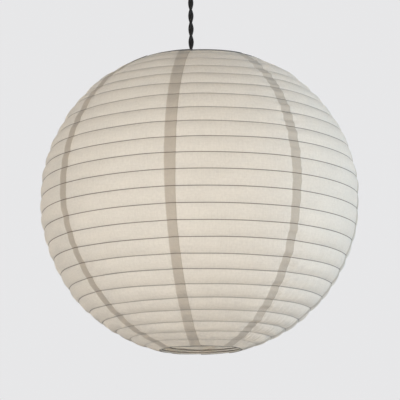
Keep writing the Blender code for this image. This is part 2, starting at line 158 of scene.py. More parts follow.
room = bpy.data.worlds.new("room")
bpy.context.scene.world = room
room.use_nodes = True
room_tree = room.node_tree
room_height = node(room_tree, "SeparateXYZ", {0: node(room_tree, "TexCoord").outputs["Generated"]}).outputs[2]
room_dusk = spread(room_tree, room_height, CEILING_STARTS, CEILING_FULL, 0.0, 1.0)
room_colour = tinted(room_tree, room_dusk, ROOM_LIGHT, ROOM_CEILING)
room_tree.links.new(room_colour, room_tree.nodes["Background"].inputs["Color"])

FLOOR_PAINT, floor_tree, floor_shader = finish("floor_paint", (0.78, 0.78, 0.78), 0.8)
floor_cloud = noise(floor_tree, in_place(floor_tree), 0.6)
floor_colour = tinted(floor_tree, floor_cloud, (0.76, 0.76, 0.76), (0.80, 0.80, 0.80))
floor_tree.links.new(floor_colour, floor_shader.inputs["Base Color"])

floor_mesh = bpy.data.meshes.new("floor")
floor_corners = np.array([(-1, -1), (1, -1), (1, 1), (-1, 1)]) * FLOOR_REACH
floor_mesh.from_pydata([(x, y, FLOOR_HEIGHT) for x, y in floor_corners], [], [(0, 1, 2, 3)])
floor_mesh.materials.append(FLOOR_PAINT)
floor = bpy.data.objects.new("floor", floor_mesh)
bpy.context.scene.collection.objects.link(floor)


# Flex
# Two cores in black textile braid, twisted together. It hangs straight from the terminal block in
# the ceiling cup, through the grommet, down into the grip on the lampholder.

FLEX_STRAND = 0.00172
FLEX_TWIST = 0.035
FLEX_PHASE = 0.6
FLEX_ROWS = 181
FLEX_SIDES = 20
FLEX_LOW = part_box("flex")[0][2]
FLEX_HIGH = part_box("flex")[1][2]
BRAID_PITCH = 0.0011


def skin(name, grids, material, closed_rows=False, closed_columns=True, sharp=35):
    """A mesh over grids of points, each (points, maps): rows by columns of places, and UV maps by name.

    Each face joins a point to the next in its row and in its column. A closed grid also joins its
    last to its first, and its maps have one more entry that way. Points in one place become one.
    """
    places, faces, maps, count = [], [], {}, 0
    for points, layers in grids:
        rows, columns = points.shape[:2]
        i = np.arange(rows if closed_rows else rows - 1)
        j = np.arange(columns if closed_columns else columns - 1)
        i, j = np.meshgrid(i, j, indexing="ij")
        down = np.stack([i, i, i + 1, i + 1], axis=-1).reshape(-1, 4)
        across = np.stack([j, j + 1, j + 1, j], axis=-1).reshape(-1, 4)
        faces.append((down % rows) * columns + across % columns + count)
        places.append(points.reshape(-1, 3))
        count += rows * columns
        for layer, values in layers.items():
            maps.setdefault(layer, []).append(values[down, across].reshape(-1, 2))
    mesh = bpy.data.meshes.new(name)
    mesh.from_pydata(np.concatenate(places).tolist(), [], np.concatenate(faces).tolist())
    for layer, values in maps.items():
        flat = np.concatenate(values).astype(np.float32).ravel()
        mesh.uv_layers.new(name=layer).data.foreach_set("uv", flat)
    work = bmesh.new()
    work.from_mesh(mesh)
    bmesh.ops.remove_doubles(work, verts=work.verts, dist=0.000001)
    work.to_mesh(mesh)
    work.free()
    mesh.shade_smooth()
    mesh.set_sharp_from_angle(angle=math.radians(sharp))
    mesh.materials.append(material)
    piece = bpy.data.objects.new(name, mesh)
    bpy.context.scene.collection.objects.link(piece)
    return piece


def tube(path, radius, side, sides, closed=False):
    """Points round a path: across each of its points a circle, counted from the side direction."""
    step = np.roll(path, -1, 0) - np.roll(path, 1, 0) if closed else np.gradient(path, axis=0)
    along = step / np.linalg.norm(step, axis=1, keepdims=True)
    first = side - (side * along).sum(1, keepdims=True) * along
    first /= np.linalg.norm(first, axis=1, keepdims=True)
    second = np.cross(along, first)
    turn = np.arange(sides) * math.tau / sides
    radius = np.broadcast_to(radius, len(path))[:, None, None]
    circle = np.cos(turn)[None, :, None] * first[:, None] + np.sin(turn)[None, :, None] * second[:, None]
    return path[:, None] + radius * circle


def capped(points):
    """A tube with flat ends: each end row is followed by a row of points at its middle."""
    start = np.repeat(points[:1].mean(axis=1, keepdims=True), points.shape[1], axis=1)
    end = np.repeat(points[-1:].mean(axis=1, keepdims=True), points.shape[1], axis=1)
    return np.concatenate([start, points, end])


def wound_map(points, round_length, length):
    """A UV map in metres over a tube: round it, then along it."""
    rows, columns = points.shape[:2]
    across, down = np.meshgrid(np.linspace(0, round_length, columns + 1), np.linspace(0, length, rows))
    return np.stack([across, down], axis=-1)


def strand(phase):
    """A helix round the flex's line, one strand's radius off it, a turn for each twist length."""
    height = np.linspace(FLEX_LOW, FLEX_HIGH, FLEX_ROWS)
    angle = phase + height / FLEX_TWIST * math.tau
    path = np.stack([FLEX_STRAND * np.cos(angle), FLEX_STRAND * np.sin(angle), height], axis=1)
    points = capped(tube(path, FLEX_STRAND, np.array([1.0, 0, 0]), FLEX_SIDES))
    return points, {"braid": wound_map(points, math.tau * FLEX_STRAND, FLEX_HIGH - FLEX_LOW)}


FLEX_BRAID, braid_tree, braid_shader = finish(
    "flex_braid", (0.012, 0.012, 0.013), 0.85, sheen_weight=0.06, specular_ior_level=0.15,
)
braid_map = node(braid_tree, "UVMap", uv_map="braid").outputs[0]
braid_axes = node(braid_tree, "SeparateXYZ", {0: braid_map})


def braid_wave(sign):
    """Ridges that run round the strand one way: a sine of distance along plus or minus round."""
    lean = node(braid_tree, "Math", {0: braid_axes.outputs[0], 1: sign}, operation="MULTIPLY")
    total = node(braid_tree, "Math", {0: braid_axes.outputs[1], 1: lean.outputs[0]}, operation="ADD")
    angle = node(braid_tree, "Math", {0: total.outputs[0], 1: math.tau / BRAID_PITCH}, operation="MULTIPLY")
    return node(braid_tree, "Math", {0: angle.outputs[0]}, operation="SINE").outputs[0]


braid_height = node(
    braid_tree, "Math", {0: braid_wave(1.0), 1: braid_wave(-1.0)}, operation="MULTIPLY",
).outputs[0]
braid_bump = node(braid_tree, "Bump", {"Height": braid_height, "Strength": 0.6, "Distance": 0.0002})
# Painted shade: the braid's colour follows the ridges' height, darker in the grooves and lighter on the
# ridges.
braid_groove_shade = spread(braid_tree, braid_height, -1.0, 1.0, 0.0, 1.0)
braid_colour = tinted(braid_tree, braid_groove_shade, (0.006, 0.006, 0.007), (0.022, 0.021, 0.021))
braid_tree.links.new(braid_colour, braid_shader.inputs["Base Color"])
braid_tree.links.new(braid_bump.outputs[0], braid_shader.inputs["Normal"])

flex = skin("twisted_flex", [strand(FLEX_PHASE), strand(FLEX_PHASE + math.pi)], FLEX_BRAID)
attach(flex, "pendant")
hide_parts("flex")


# Ceiling fitting
# A pressed steel cup in satin black paint, held by two cheese-head screws to a zinc-plated strap.
# A rubber grommet lines its cord hole, and a moulded terminal block joins the flex inside.

CUP_RADIUS = 0.045
CUP_HEIGHT = 0.045
CUP_WALL = 0.0012
CUP_ROUND = 0.014
CUP_HOLE = 0.0093
CUP_SCREW_DROP = 0.010
CUP_SCREW_BORE = 0.0019
DRILL_REACH = 0.06
DRILL_SIDES = 24
GROMMET_EASE = 0.0005
EASE_STEPS = 5
GROMMET_PROFILE = np.array([
    (0.00425, -0.0444), (0.00645, -0.0483), (0.0090, -0.0483), (0.0105, -0.0453), (0.0090, -0.0453),
    (0.0090, -0.0435), (0.0105, -0.0435), (0.0102, -0.0405), (0.00645, -0.0405),
])


def eased(corners, size):
    """A closed profile with its corners rounded: each becomes a short quadratic curve that starts and
    ends the given distance from it, or less than half way along a side that is shorter."""
    before, after = np.roll(corners, 1, 0) - corners, np.roll(corners, -1, 0) - corners
    lengths = [np.linalg.norm(side, axis=1, keepdims=True) for side in (before, after)]
    start = corners + before * np.minimum(size / np.maximum(lengths[0], 1e-9), 0.45)
    end = corners + after * np.minimum(size / np.maximum(lengths[1], 1e-9), 0.45)
    s = np.linspace(0, 1, EASE_STEPS)[None, :, None]
    bend = start[:, None] * (1 - s) ** 2 + corners[:, None] * 2 * s * (1 - s) + end[:, None] * s**2
    return bend.reshape(-1, 2)


def arc(centre, radius, start, end, steps=13):
    """Points on a circle about a centre, at even steps between two angles in degrees."""
    angles = np.radians(np.linspace(start, end, steps))
    return np.array(centre) + radius * np.stack([np.cos(angles), np.sin(angles)], axis=1)


def turned(name, profile, material, steps=96, closed=True, sharp=35, ripple=None):
    """A profile of (radius, height) carried round the flex's line. It runs up the outer side.

    ripple gives a change of radius from the turn's angle, the height and the radius."""
    turn = np.arange(steps) * math.tau / steps
    radius = np.repeat(profile[:, :1], steps, axis=1)
    height = np.repeat(profile[:, 1:], steps, axis=1)
    if ripple:
        radius = radius + ripple(turn[None], height, radius)
    points = np.stack([radius * np.cos(turn), radius * np.sin(turn), height], axis=-1)
    return skin(name, [(points, {})], material, closed_rows=closed, sharp=sharp)


def value_group(name, inputs, outputs):
    """A node group with named inputs and outputs. Returns its tree, input node and output node."""
    tree = bpy.data.node_groups.new(name, "ShaderNodeTree")
    for label, default in inputs.items():
        socket = tree.interface.new_socket(label, in_out="INPUT", socket_type="NodeSocketFloat")
        socket.default_value = default
    for label, kind in outputs.items():
        tree.interface.new_socket(label, in_out="OUTPUT", socket_type="NodeSocket" + kind)
    return tree, tree.nodes.new("NodeGroupInput").outputs, tree.nodes.new("NodeGroupOutput").inputs


# The fine grain of a moulded, painted or plated face: noise that roughens it and lifts it slightly.
GRAIN, grain_in, grain_out = value_group(
    "surface grain",
    {"Scale": 900.0, "Low Roughness": 0.4, "High Roughness": 0.6, "Lift": 0.15},
    {"Roughness": "Float", "Normal": "Vector", "Cloud": "Float"},
)
grain_place = in_place(GRAIN)
grain_fine = noise(GRAIN, grain_place, grain_in["Scale"], 4.0)
grain_cloud = noise(GRAIN, grain_place, 55.0, 3.0)
grain_rough = spread(GRAIN, grain_cloud, 0.3, 0.7, grain_in["Low Roughness"], grain_in["High Roughness"])
grain_bump = node(GRAIN, "Bump", {"Height": grain_fine, "Strength": grain_in["Lift"], "Distance": 0.0002})
GRAIN.links.new(grain_rough, grain_out["Roughness"])
GRAIN.links.new(grain_bump.outputs[0], grain_out["Normal"])
GRAIN.links.new(grain_cloud, grain_out["Cloud"])

# Dust that settles on faces that look up: stronger where the face is level, broken up by noise.
DUST, dust_in, dust_out = value_group("settled dust", {"Amount": 0.5}, {"Mask": "Float"})
dust_up = node(DUST, "SeparateXYZ", {0: node(DUST, "NewGeometry").outputs["Normal"]}).outputs[2]
dust_level = spread(DUST, dust_up, 0.25, 1.0, 0.0, 1.0)
dust_patch = spread(DUST, noise(DUST, in_place(DUST), 140.0, 5.0), 0.25, 0.75, 0.35, 1.0)
dust_mask = node(DUST, "Math", {0: dust_level, 1: dust_patch}, operation="MULTIPLY").outputs[0]
dust_mask = node(DUST, "Math", {0: dust_mask, 1: dust_in["Amount"]}, operation="MULTIPLY").outputs[0]
DUST.links.new(dust_mask, dust_out["Mask"])


def grained(name, colour, other, dust, scale, rough, lift, **sockets):
    """A finish with the surface grain and settled dust, its colour clouded between two tones."""
    material, tree, shader = finish(name, colour, rough[0], **sockets)
    grain = node(
        tree, "Group",
        {"Scale": scale, "Low Roughness": rough[0], "High Roughness": rough[1], "Lift": lift},
        node_tree=GRAIN,
    )
    settled = node(tree, "Group", {"Amount": dust}, node_tree=DUST)
    cloud = spread(tree, grain.outputs["Cloud"], 0.3, 0.7, 0.0, 1.0)
    base = tinted(tree, settled.outputs["Mask"], tinted(tree, cloud, colour, other), (0.23, 0.22, 0.20))
    tree.links.new(base, shader.inputs["Base Color"])
    tree.links.new(grain.outputs["Roughness"], shader.inputs["Roughness"])
    tree.links.new(grain.outputs["Normal"], shader.inputs["Normal"])
    return material


CUP_PAINT = grained(
    "cup_paint", (0.018, 0.018, 0.019), (0.026, 0.026, 0.027),
    dust=0.25, scale=1400, rough=(0.34, 0.46), lift=0.12,
)
ZINC_PLATE = grained(
    "zinc_plate", (0.55, 0.56, 0.58), (0.66, 0.66, 0.67),
    dust=0.15, scale=500, rough=(0.30, 0.48), lift=0.10, metallic=1.0,
)
GROMMET_RUBBER = grained(
    "grommet_rubber", (0.018, 0.018, 0.018), (0.03, 0.03, 0.03),
    dust=0.2, scale=2200, rough=(0.6, 0.8), lift=0.2,
)
BLOCK_PLASTIC = grained(
    "block_plastic", (0.80, 0.79, 0.74), (0.84, 0.83, 0.80),
    dust=0.2, scale=1200, rough=(0.42, 0.55), lift=0.1,
)

cup_corner = (CUP_RADIUS - CUP_ROUND, -CUP_HEIGHT + CUP_ROUND)
cup_profile = np.concatenate([
    [(CUP_HOLE, -CUP_HEIGHT)], arc(cup_corner, CUP_ROUND, -90, 0), [(CUP_RADIUS, 0)],
    [(CUP_RADIUS - CUP_WALL, 0)], arc(cup_corner, CUP_ROUND - CUP_WALL, 0, -90),
    [(CUP_HOLE, -CUP_HEIGHT + CUP_WALL)],
])
ceiling_cup = turned("pressed_cup", cup_profile, CUP_PAINT)

drill_path = np.array([(reach, 0, -CUP_SCREW_DROP) for reach in (-DRILL_REACH, 0, DRILL_REACH)])
drill_points = capped(tube(drill_path, CUP_SCREW_BORE, np.array([0, 0, 1.0]), DRILL_SIDES))
drill = skin("cup_drill", [(drill_points, {})], CUP_PAINT)
bore = ceiling_cup.modifiers.new("screw holes", "BOOLEAN")
bore.operation = "DIFFERENCE"
bore.object = drill
drilled = ceiling_cup.evaluated_get(bpy.context.evaluated_depsgraph_get())
ceiling_cup_mesh = bpy.data.meshes.new_from_object(drilled)
ceiling_cup.modifiers.clear()
ceiling_cup.data = ceiling_cup_mesh
bpy.data.objects.remove(drill)
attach(ceiling_cup, "ceiling")
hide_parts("ceiling_cup")

grommet = turned("cord_grommet", eased(GROMMET_PROFILE, GROMMET_EASE), GROMMET_RUBBER, steps=64)
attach(grommet, "ceiling")
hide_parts("cup_grommet")

for fitting, material in (
    ("ceiling_bracket", ZINC_PLATE), ("cup_screw_left", ZINC_PLATE),
    ("cup_screw_right", ZINC_PLATE), ("terminal_block", BLOCK_PLASTIC),
):
    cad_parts[fitting].material_slots[0].material = material


# Lampholder and collar
# Moulded black plastic. A domed cap screws onto a skirt with an outside thread, a ceramic block holds
# the contacts, a ribbed grip clamps the flex, and a ribbed collar clamps the shade's ring.

SKIRT_MOUTH, SKIRT_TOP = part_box("lampholder_skirt")[0][2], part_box("lampholder_skirt")[1][2]
SKIRT_BORE = 0.0146
SKIRT_RADIUS = 0.0195
SHOULDER_RADIUS = 0.0245
SHOULDER_THICKNESS = 0.006
THREAD_PITCH = 0.0025
THREAD_DEPTH = 0.0007
THREAD_ROWS = 118
CAP_FOOT, CAP_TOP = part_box("lampholder_cap")[0][2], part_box("lampholder_cap")[1][2]
CAP_NECK = 0.0085
CAP_WALL = 0.002
CAP_RIBS = 36
CAP_RIB_DEPTH = 0.0004
GRIP_FOOT, GRIP_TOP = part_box("flex_grip")[0][2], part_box("flex_grip")[1][2]
COLLAR_LOW, COLLAR_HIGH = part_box("shade_collar")[0][2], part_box("shade_collar")[1][2]
COLLAR_RADIUS = 0.0285
COLLAR_HOLE = 0.0198
COLLAR_TUBE = 0.0228
COLLAR_RIBS = 48
COLLAR_RIB_DEPTH = 0.0005

MOULDED_BLACK = grained(
    "moulded_black", (0.013, 0.013, 0.014), (0.019, 0.019, 0.020),
    dust=0.45, scale=1600, rough=(0.32, 0.44), lift=0.10,
)
CONTACT_CERAMIC = grained(
    "contact_ceramic", (0.78, 0.76, 0.70), (0.83, 0.81, 0.76),
    dust=0.1, scale=1800, rough=(0.5, 0.7), lift=0.25,
)


def thread(low, high, pitch, depth, outer):
    """A ripple for a turned face: a groove that climbs one pitch a turn between two heights.

    The radius falls by the depth where the height, less the climb at that angle, is half a pitch
    from a whole number of pitches, and by nothing at whole ones. It fades out over one pitch at
    each end and leaves faces inside the outer radius alone."""

    def change(turn, height, radius):
        wave = 0.5 - 0.5 * np.cos((height / pitch - turn / math.tau) * math.tau)
        fade = np.clip((height - low) / pitch, 0, 1) * np.clip((high - height) / pitch, 0, 1)
        return -depth * wave * fade * (radius > outer - 0.00001)

    return change


def ribs(count, depth, low, high, outer):
    """A ripple of grip ribs: a cosine of the angle, between two heights, on the outer face only."""

    def change(turn, height, radius):
        wave = 0.5 - 0.5 * np.cos(turn * count)
        return -depth * wave * ((height > low) & (height < high) & (radius > outer - 0.0004))

    return change


shoulder_low = SKIRT_TOP - SHOULDER_THICKNESS
thread_low, thread_high = SKIRT_MOUTH + 0.0012, shoulder_low - 0.0004
skirt_rows = np.linspace(thread_low, thread_high, THREAD_ROWS)
skirt_profile = np.concatenate([
    [(SKIRT_BORE + 0.0006, SKIRT_MOUTH), (SKIRT_RADIUS - 0.0008, SKIRT_MOUTH)],
    [(SKIRT_RADIUS, SKIRT_MOUTH + 0.0008)],
    np.stack([np.full(THREAD_ROWS, SKIRT_RADIUS), skirt_rows], axis=1),
    [(SKIRT_RADIUS, shoulder_low), (SHOULDER_RADIUS - 0.0006, shoulder_low)],
    [(SHOULDER_RADIUS, shoulder_low + 0.0006), (SHOULDER_RADIUS, SKIRT_TOP - 0.0005)],
    [(SHOULDER_RADIUS - 0.0005, SKIRT_TOP), (SKIRT_BORE, SKIRT_TOP), (SKIRT_BORE, SKIRT_MOUTH + 0.0006)],
])
skirt_thread = thread(thread_low, thread_high, THREAD_PITCH, THREAD_DEPTH, SKIRT_RADIUS)
skirt = turned("threaded_skirt", skirt_profile, MOULDED_BLACK, ripple=skirt_thread)
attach(skirt, "pendant")
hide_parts("lampholder_skirt")

cap_dome = np.radians(np.linspace(0, 90, 25))
cap_reach = SHOULDER_RADIUS - CAP_NECK
cap_rise = CAP_TOP - CAP_FOOT


def dome(shrink):
    """A quarter ellipse from the cap's foot to its neck, moved in by a wall."""
    reach = CAP_NECK + cap_reach * np.cos(cap_dome) - shrink
    return np.stack([reach, CAP_FOOT + (cap_rise - shrink) * np.sin(cap_dome)], axis=1)


cap_profile = np.concatenate([dome(0), dome(CAP_WALL)[::-1]])
cap_ribs = ribs(CAP_RIBS, CAP_RIB_DEPTH, CAP_FOOT + 0.0008, CAP_FOOT + 0.0078, SHOULDER_RADIUS - 0.0022)
holder_cap = turned("domed_cap", cap_profile, MOULDED_BLACK, steps=216, ripple=cap_ribs)
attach(holder_cap, "pendant")
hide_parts("lampholder_cap")

grip_rows = np.linspace(0, 1, 61)
grip_height = GRIP_FOOT + 0.0009 + grip_rows * (GRIP_TOP - GRIP_FOOT - 0.0015)
grip_taper = 0.0080 - 0.0034 * np.clip((grip_rows - 0.3) / 0.7, 0, 1) ** 1.2
grip_ring = 0.0004 * (0.5 - 0.5 * np.cos(np.clip((grip_rows - 0.34) / 0.6, 0, 1) * 4 * math.tau))
grip_profile = np.concatenate([
    [(0, GRIP_FOOT), (0.0074, GRIP_FOOT)], np.stack([grip_taper - grip_ring, grip_height], axis=1),
    [(0.0041, GRIP_TOP), (0, GRIP_TOP)],
])
flex_grip = turned("ribbed_grip", grip_profile, MOULDED_BLACK, steps=64, closed=False)
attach(flex_grip, "pendant")
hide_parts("flex_grip")

collar_profile = np.array([
    (COLLAR_HOLE + 0.0003, COLLAR_LOW), (COLLAR_TUBE - 0.0004, COLLAR_LOW),
    (COLLAR_TUBE, COLLAR_LOW + 0.0004), (COLLAR_TUBE, COLLAR_HIGH - 0.0028),
    (COLLAR_TUBE + 0.0003, COLLAR_HIGH - 0.0025),
    (COLLAR_RADIUS - 0.0003, COLLAR_HIGH - 0.0025), (COLLAR_RADIUS, COLLAR_HIGH - 0.0022),
    (COLLAR_RADIUS, COLLAR_HIGH - 0.0003), (COLLAR_RADIUS - 0.0003, COLLAR_HIGH),
    (COLLAR_HOLE, COLLAR_HIGH), (COLLAR_HOLE, COLLAR_LOW + 0.0003),
])
collar_ribs = ribs(COLLAR_RIBS, COLLAR_RIB_DEPTH, COLLAR_HIGH - 0.01, COLLAR_HIGH + 0.01, COLLAR_RADIUS)
collar = turned("clamp_collar", collar_profile, MOULDED_BLACK, steps=288, ripple=collar_ribs)
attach(collar, "collar")
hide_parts("shade_collar")

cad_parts["lampholder_contact"].material_slots[0].material = CONTACT_CERAMIC


# Bulb
# A globe bulb of opal glass on a plated brass screw cap with rolled threads. It is lit, warm white,
# and a little dimmer towards its neck.

BULB_CAP_RADIUS = 0.0132
BULB_CAP_LOW, BULB_CAP_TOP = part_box("bulb_cap")[0][2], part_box("bulb_cap")[1][2]
BULB_CAP_WALL = 0.0006
BULB_GLASS_WALL = 0.0010
BULB_NECK = 0.0123
BULB_NECK_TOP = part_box("bulb_glass")[1][2]
BULB_FLARE = math.radians(42)
BULB_FLARE_PULL = 0.45
BULB_THREAD_PITCH = 0.0036
BULB_THREAD_DEPTH = 0.0012
BULB_THREAD_ROWS = 40
BULB_GLOW = 16.5

OPAL_GLASS, opal_tree, opal_shader = finish(
    "opal_glass", (0.93, 0.91, 0.86), 0.22, ior=1.5, coat_weight=0.3, emission_strength=BULB_GLOW,
)
opal_height = node(opal_tree, "SeparateXYZ", {0: in_place(opal_tree)}).outputs[2]
opal_neck = spread(opal_tree, opal_height, GLOBE_MIDDLE + 0.005, BULB_CAP_LOW, 0.0, 1.0)
opal_glow = tinted(opal_tree, opal_neck, (1.0, 0.86, 0.70), (0.42, 0.33, 0.24))
opal_tree.links.new(opal_glow, opal_shader.inputs["Emission Color"])
opal_speck = spread(opal_tree, noise(opal_tree, in_place(opal_tree), 60.0), 0.3, 0.7, 0.18, 0.28)
opal_tree.links.new(opal_speck, opal_shader.inputs["Roughness"])


def bulb_outline(shrink):
    """Glass from the ball's foot up to the neck's open end: a circle, a curve that leaves it at a
    tangent and runs into the neck, then the straight neck. A wall's thickness moves it in."""
    ball = BULB_BALL - shrink
    foot = arc((0, GLOBE_MIDDLE), ball, -90, math.degrees(BULB_FLARE), 33)
    leaves = np.array([math.cos(BULB_FLARE), math.sin(BULB_FLARE)])
    shoulder = leaves * ball
    waist = np.array([BULB_NECK - shrink, BULB_CAP_LOW - GLOBE_MIDDLE])
    rise = waist[1] - shoulder[1]
    pull = shoulder + np.array([-leaves[1], leaves[0]]) * rise * BULB_FLARE_PULL
    drop = waist - np.array([0, rise * BULB_FLARE_PULL])
    s = np.linspace(0, 1, 15)[1:, None]
    flare = shoulder * (1 - s) ** 3 + pull * 3 * s * (1 - s) ** 2 + drop * 3 * s**2 * (1 - s) + waist * s**3
    neck = [(BULB_NECK - shrink, BULB_NECK_TOP)]
    foot[0] = (0, GLOBE_MIDDLE - ball)
    return np.concatenate([foot, flare + (0, GLOBE_MIDDLE), neck])


bulb_profile = np.concatenate([bulb_outline(0), bulb_outline(BULB_GLASS_WALL)[::-1]])
bulb_glass = turned("opal_bulb", bulb_profile, OPAL_GLASS, closed=False, sharp=60)
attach(bulb_glass, "bulb")
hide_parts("bulb_glass")

CAP_NICKEL = grained(
    "cap_nickel", (0.58, 0.55, 0.49), (0.68, 0.66, 0.61),
    dust=0.1, scale=700, rough=(0.22, 0.36), lift=0.06, metallic=1.0,
)
thread_low, thread_high = BULB_CAP_LOW + 0.0088, BULB_CAP_TOP - 0.0040
cap_rows = np.linspace(thread_low, thread_high, BULB_THREAD_ROWS)
bulb_cap_profile = np.concatenate([
    [(BULB_CAP_RADIUS, BULB_CAP_LOW), (BULB_CAP_RADIUS, BULB_CAP_LOW + 0.0085)],
    np.stack([np.full(BULB_THREAD_ROWS, BULB_CAP_RADIUS), cap_rows], axis=1),
    [(BULB_CAP_RADIUS - 0.0008, BULB_CAP_TOP - 0.0030), (BULB_CAP_RADIUS - 0.0060, BULB_CAP_TOP - 0.0006)],
    [(0.0046, BULB_CAP_TOP - 0.0005), (0.0040, BULB_CAP_TOP), (0, BULB_CAP_TOP)],
    [(0, BULB_CAP_TOP - 0.0016), (0.0060, BULB_CAP_TOP - 0.0020)],
    [(BULB_CAP_RADIUS - 0.0021, BULB_CAP_TOP - 0.0045), (BULB_CAP_RADIUS - 0.0021, BULB_CAP_LOW + 0.0093)],
    [(BULB_CAP_RADIUS - BULB_CAP_WALL, BULB_CAP_LOW + 0.0085)],
    [(BULB_CAP_RADIUS - BULB_CAP_WALL, BULB_CAP_LOW)],
])
cap_thread = thread(thread_low, thread_high, BULB_THREAD_PITCH, BULB_THREAD_DEPTH, BULB_CAP_RADIUS)
bulb_cap = turned("screw_cap", bulb_cap_profile, CAP_NICKEL, ripple=cap_thread)
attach(bulb_cap, "bulb")
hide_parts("bulb_cap")


# Globe outline
# The shade's shape, which the rings, hoops and cloth share: an ellipse cut into 24 equal lengths by
# 23 hoops. Hand-made, it is flatter mid-panel, its hoops dip at the seams and no two lie quite level.

GLOBE_RADIUS = 0.200
GLOBE_HALF_HEIGHT = 0.195
TOP_MOUTH = 0.0833
BOTTOM_MOUTH = 0.0508
SPACES = 24
PANELS = 8
FIRST_SEAM = math.radians(-9.8)
PANEL_TURN = math.tau / PANELS
LAP = 0.012
MID_PANEL_FLAT = 0.0012
SEAM_DIP = 0.0011
SEAM_REACH = 0.014
SEAM_DRIFT = math.radians(2.6)
DRIFT_FROM = 12
OUTLINE_STEPS = 4001
UNEVEN = 0.00022
HARMONICS = 4

top_turn, bottom_turn = math.acos(TOP_MOUTH / GLOBE_RADIUS), -math.acos(BOTTOM_MOUTH / GLOBE_RADIUS)
fine_turn = np.linspace(top_turn, bottom_turn, OUTLINE_STEPS)
fine_place = np.stack([GLOBE_RADIUS * np.cos(fine_turn), GLOBE_HALF_HEIGHT * np.sin(fine_turn)], axis=1)
fine_length = np.concatenate([[0], np.cumsum(np.linalg.norm(np.diff(fine_place, axis=0), axis=1))])
OUTLINE_LENGTH = float(fine_length[-1])
luck = np.random.default_rng(11)
HOOP_RISE = luck.normal(0, UNEVEN, (SPACES + 1, HARMONICS, 2))
HOOP_SWELL = luck.normal(0, UNEVEN * 0.8, (SPACES + 1, HARMONICS, 2))
HOOP_RISE[[0, -1]] = 0
HOOP_SWELL[[0, -1]] = 0
# The middle hoops are made more level, so that they stay clear of each other in the folded shade.
LEVEL_HOOPS = slice(10, 15)
LEVEL_SHARE = 0.25
HOOP_RISE[LEVEL_HOOPS] *= LEVEL_SHARE


def turn_at(row):
    """The ellipse's parameter at a row, counted in spaces between hoops from the top edge."""
    return np.interp(row * OUTLINE_LENGTH / SPACES, fine_length, fine_turn)


def waves(table, row, bearing):
    """A hand-made unevenness: the first few harmonics of the bearing, their sizes read from a table
    for each hoop and drawn straight between hoops."""
    low = np.clip(np.floor(row).astype(int), 0, SPACES - 1)
    share = (row - low)[..., None, None]
    sizes = table[low] * (1 - share) + table[low + 1] * share
    order = np.arange(1, sizes.shape[-2] + 1)
    angle = bearing[..., None] * order
    return (sizes[..., 0] * np.cos(angle) + sizes[..., 1] * np.sin(angle)).sum(axis=-1)


def globe(row, bearing, outward):
    """Places on the globe, for arrays of rows and bearings and a distance out from the outline.

    The point lies on the ellipse, moved out along its normal. Mid-panel it moves in by a sine
    squared of the place across the panel, and near a seam it dips towards the equator by an
    exponential of the distance from it. The seams lean a little towards the bottom."""
    row, bearing, outward = np.broadcast_arrays(row, bearing, outward)
    t = turn_at(row)
    radius, height = GLOBE_RADIUS * np.cos(t), GLOBE_HALF_HEIGHT * np.sin(t)
    slope = np.stack([GLOBE_HALF_HEIGHT * np.cos(t), GLOBE_RADIUS * np.sin(t)], axis=-1)
    slope /= np.linalg.norm(slope, axis=-1, keepdims=True)
    across = np.mod((bearing - FIRST_SEAM) / PANEL_TURN, 1)
    seam = np.minimum(across, 1 - across) * PANEL_TURN * radius
    ends = np.clip(np.minimum(row, SPACES - row), 0, 1)
    out = outward - MID_PANEL_FLAT * np.sin(math.pi * across) ** 2 * radius / GLOBE_RADIUS * ends
    out = out + waves(HOOP_SWELL, row, bearing)
    dip = -SEAM_DIP * np.exp(-seam / SEAM_REACH) * np.tanh(3 * height / GLOBE_HALF_HEIGHT) * ends
    height = height + slope[..., 1] * out + dip + waves(HOOP_RISE, row, bearing)
    radius = radius + slope[..., 0] * out
    turned_by = bearing + SEAM_DRIFT * np.clip((row - DRIFT_FROM) / (SPACES - DRIFT_FROM), 0, 1) ** 1.5
    x, y = GLOBE_AXIS + radius * np.sin(turned_by), -radius * np.cos(turned_by)
    return np.stack([x, y, GLOBE_MIDDLE + height], axis=-1)


# Rings and hoops
# Spring steel wire: a ring in each hem, and between them 23 thin hoops fixed to the cloth's inner
# face. Each hoop is one closed loop, butt-welded, with a dark lacquer.

RING_WIRE = 0.0015
TOP_RING_SHOWN = 0.0012
LOW_RING_SHOWN = 0.0008
HOOP_WIRE = 0.00065
WIRE_GAP = 0.0005
HOOP_SIDES = 8
RING_SIDES = 14
HOOP_POINTS = 216

HOOP_LACQUER = grained(
    "hoop_lacquer", (0.13, 0.112, 0.094), (0.19, 0.165, 0.14),
    dust=0.25, scale=900, rough=(0.42, 0.6), lift=0.1, metallic=0.5,
)


def closed_wire(name, row, radius, sides, body, stands_for, depth=0.0):
    """A loop of wire just inside the cloth at a row: a circle carried round the globe's own line, its
    centre in from the cloth by a gap and its radius, or by the gap and a greater depth."""
    bearing = np.arange(HOOP_POINTS) * math.tau / HOOP_POINTS
    depth = WIRE_GAP + max(radius, depth)
    path = globe(np.full(HOOP_POINTS, float(row)), bearing, -depth)
    side = np.stack([np.sin(bearing), -np.cos(bearing), np.zeros(HOOP_POINTS)], axis=1)
    points = tube(path, radius, side, sides, closed=True)
    loop = skin(name, [(points, {})], HOOP_LACQUER, closed_rows=True)
    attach(loop, body)
    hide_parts(stands_for)


closed_wire("top_hem_ring", 0, TOP_RING_SHOWN, RING_SIDES, "frame", "top_ring")
closed_wire("bottom_hem_ring", SPACES, LOW_RING_SHOWN, RING_SIDES, "low_ring", "bottom_ring", RING_WIRE)
for number in range(1, SPACES):
    label = f"{number:02d}"
    closed_wire(f"wire_hoop_{label}", number, HOOP_WIRE, HOOP_SIDES, f"hoop_{label}_slide", f"hoop_{label}")


# Stretcher
# Satin plated steel wire, bent and spot-welded: two side wires that hook under the top ring and over
# the bottom one, each on an arm from the ring that sits on the lampholder.

